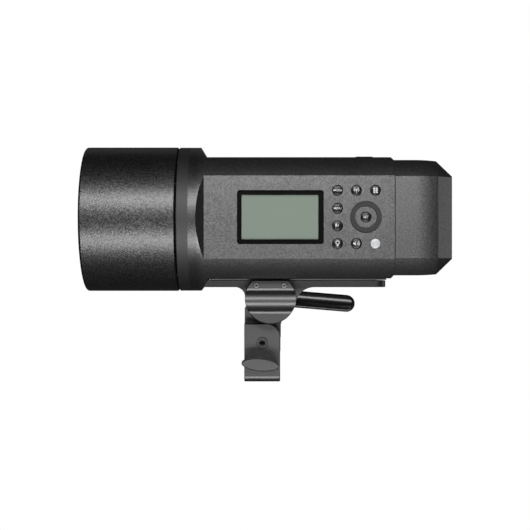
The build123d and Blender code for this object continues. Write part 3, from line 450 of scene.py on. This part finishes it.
def print_sign(key, loops):
    """Prints closed outlines, in millimetres from the centre of the key."""
    name = f"{key}_sign"
    curve = bpy.data.curves.new(name, "CURVE")
    curve.dimensions = "2D"
    curve.fill_mode = "BOTH"
    curve.extrude = MARK_THICK / 2
    for loop in loops:
        spline = curve.splines.new("POLY")
        spline.points.add(len(loop) - 1)
        spline.use_cyclic_u = True
        for point, (x, z) in zip(spline.points, loop):
            point.co = (x * MM, z * MM, 0, 1)
    print_mark(name, curve, key)


def circle(radius, x=0.0, z=0.0, steps=28):
    angles = [2 * pi * i / steps for i in range(steps)]
    return [(x + radius * cos(a), z + radius * sin(a)) for a in angles]


def arc_band(radius, width, start, end, x=0.0, z=0.0, steps=14):
    """Curved stroke between two angles."""
    angles = [start + (end - start) * i / steps for i in range(steps + 1)]
    far = [(x + (radius + width / 2) * cos(a), z + (radius + width / 2) * sin(a)) for a in angles]
    near = [(x + (radius - width / 2) * cos(a), z + (radius - width / 2) * sin(a)) for a in reversed(angles)]
    return far + near


def bar(x0, x1, z0, z1):
    return [(x0, z0), (x1, z0), (x1, z1), (x0, z1)]


def wireless_mark():
    """Mast with two waves on each side."""
    loops = [circle(0.5, 0, 0.6), bar(-0.2, 0.2, -2.1, 0.2)]
    for side in (0.0, pi):
        for radius in (1.25, 2.1):
            loops.append(arc_band(radius, 0.4, side - 0.8, side + 0.8, 0, 0.6))
    return loops


def grid_mark():
    """Two columns of three tiles."""
    wide, tall, gap = 1.6, 1.1, 0.45
    loops = []
    for column in (-1, 0):
        for row in (-1, 0, 1):
            x = column * (wide + gap) + gap / 2
            z = row * (tall + gap) - tall / 2
            loops.append(bar(x, x + wide, z, z + tall))
    return loops


def lamp_mark():
    """Bulb drawn as a ring, over the two bars of its foot."""
    ring = [circle(1.75, 0, 0.75), circle(1.15, 0, 0.75)]
    foot = [bar(-0.8, 0.8, -1.75, -1.2), bar(-0.5, 0.5, -2.45, -1.95)]
    return ring + foot


def sound_mark():
    """Loudspeaker with three waves."""
    horn = [(-2.7, -0.65), (-1.7, -0.65), (-0.5, -1.8), (-0.5, 1.8), (-1.7, 0.65), (-2.7, 0.65)]
    waves = [arc_band(r, 0.4, -0.8, 0.8, -0.4) for r in (1.1, 2.0, 2.9)]
    return [horn] + waves


def function_mark():
    """Flash bolt beside two uprights and a crossbar."""
    bolt = [(-1.4, 1.9), (-0.3, 1.9), (-0.9, 0.5), (-0.2, 0.5), (-1.8, -1.9), (-1.2, -0.3), (-2.1, -0.3)]
    shutter = [bar(0.3, 0.75, -1.6, 1.1), bar(1.75, 2.2, -1.6, 1.1), bar(0.75, 1.75, -0.5, -0.05)]
    return [bolt] + shutter


screws_low, screws_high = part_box("cheek_screws")
rolled_screw("cheek_screw_front", screws_low.x + CAD_SCREW_R)
rolled_screw("cheek_screw_rear", screws_high.x - CAD_SCREW_R)
for key_name in KEYS:
    crowned_key(key_name)
for key_name, (label, height) in WORDS.items():
    print_word(key_name, label, height)
print_sign("wireless", wireless_mark())
print_sign("group", grid_mark())
print_sign("lamp", lamp_mark())
print_sign("sound", sound_mark())
print_sign("function", function_mark())

# ---------------------------------------------------------------- studio

FLOOR_Z = -1.0
FLOOR_R = 6.0
PAPER = (0.10, 0.11)          # greys of the floor in reflections
DIM_WORLD = 0.03
TARGET = Vector((0.0, 0.0, 0.141))
CAMERA_AT = (0.0024, -1.08, 0.101)
LENS_MM = 83.7
SENSOR_MM = 36.0


def split_rays(tree, out, dim, bright):
    """Shows the camera one shader and every other ray another."""
    path = tree.nodes.new("ShaderNodeLightPath")
    mix = tree.nodes.new("ShaderNodeMixShader")
    tree.links.new(path.outputs["Is Camera Ray"], mix.inputs["Fac"])
    tree.links.new(dim.outputs[0], mix.inputs[1])
    tree.links.new(bright.outputs[0], mix.inputs[2])
    tree.links.new(mix.outputs[0], out.inputs["Surface"])


def floor_paper():
    """White to the camera, dim paper to every other ray."""
    mat, tree, shader = new_material("floor_paper")
    tone = ramp(tree, noise(tree, position(tree), 40.0), *PAPER)
    tree.links.new(tone, shader.inputs["Base Color"])
    shader.inputs["Roughness"].default_value = 0.9
    split_rays(tree, find(mat, "OUTPUT_MATERIAL"), shader, tree.nodes.new("ShaderNodeEmission"))
    return mat


def floor():
    """Round floor, well below the light, which a stand would hold by its socket."""
    bm = bmesh.new()
    bmesh.ops.create_circle(bm, cap_ends=True, segments=96, radius=FLOOR_R)
    mesh = bpy.data.meshes.new("studio_floor")
    bm.to_mesh(mesh)
    bm.free()
    mesh.materials.append(floor_paper())
    piece = show("studio_floor", mesh)
    piece.location = (0, 0, FLOOR_Z)


def area_light(name, size, power, place, turn):
    """Rectangular light that the camera doesn't see; the one behind the object is for grazing surfaces."""
    data = bpy.data.lights.new(name, "AREA")
    data.shape = "RECTANGLE"
    data.size, data.size_y = size
    data.energy = power
    lamp = show(name, data)
    lamp.location = place
    lamp.rotation_euler = turn
    lamp.visible_camera = False


def soft_light(name, azimuth, elevation, distance, size, power):
    """Area light at an angle around the target; azimuth 0 is the camera's side, -Y."""
    a, e = radians(azimuth), radians(elevation)
    way = Vector((-sin(a) * cos(e), -cos(a) * cos(e), sin(e)))
    area_light(name, size, power, TARGET + way * distance, (-way).to_track_quat("-Z", "Y").to_euler())


def world():
    """White to the camera, dim to everything else."""
    scene_world = bpy.data.worlds.new("studio")
    bpy.context.scene.world = scene_world
    scene_world.use_nodes = True
    tree = scene_world.node_tree
    tree.nodes.clear()
    out = tree.nodes.new("ShaderNodeOutputWorld")
    dim = tree.nodes.new("ShaderNodeBackground")
    white = tree.nodes.new("ShaderNodeBackground")
    dim.inputs["Color"].default_value = (0.5, 0.5, 0.5, 1)
    dim.inputs["Strength"].default_value = DIM_WORLD
    white.inputs["Color"].default_value = (1, 1, 1, 1)
    white.inputs["Strength"].default_value = 1.0
    split_rays(tree, out, dim, white)


def camera():
    """Level view at the panel."""
    data = bpy.data.cameras.new("camera")
    data.lens = LENS_MM
    data.sensor_width = SENSOR_MM
    data.clip_start = 0.01
    cam = show("camera", data)
    cam.location = CAMERA_AT
    cam.rotation_euler = (radians(90), 0, 0)
    bpy.context.scene.camera = cam


floor()
soft_light("key_above", 0, 27.5, 1.1, (0.9, 0.24), 21.5)
soft_light("key_below", 0, -34.5, 1.1, (0.9, 0.25), 21.0)
soft_light("side_right", -100, 0, 1.0, (0.5, 0.6), 1.5)
soft_light("rear_above", 180, 45, 1.2, (1.2, 0.5), 0.3)
area_light("backdrop", (3.4, 2.6), 1.0, (0, 1.6, 0.3), (radians(-90), 0, 0))
world()
camera()
bpy.context.scene.view_settings.view_transform = "Standard"
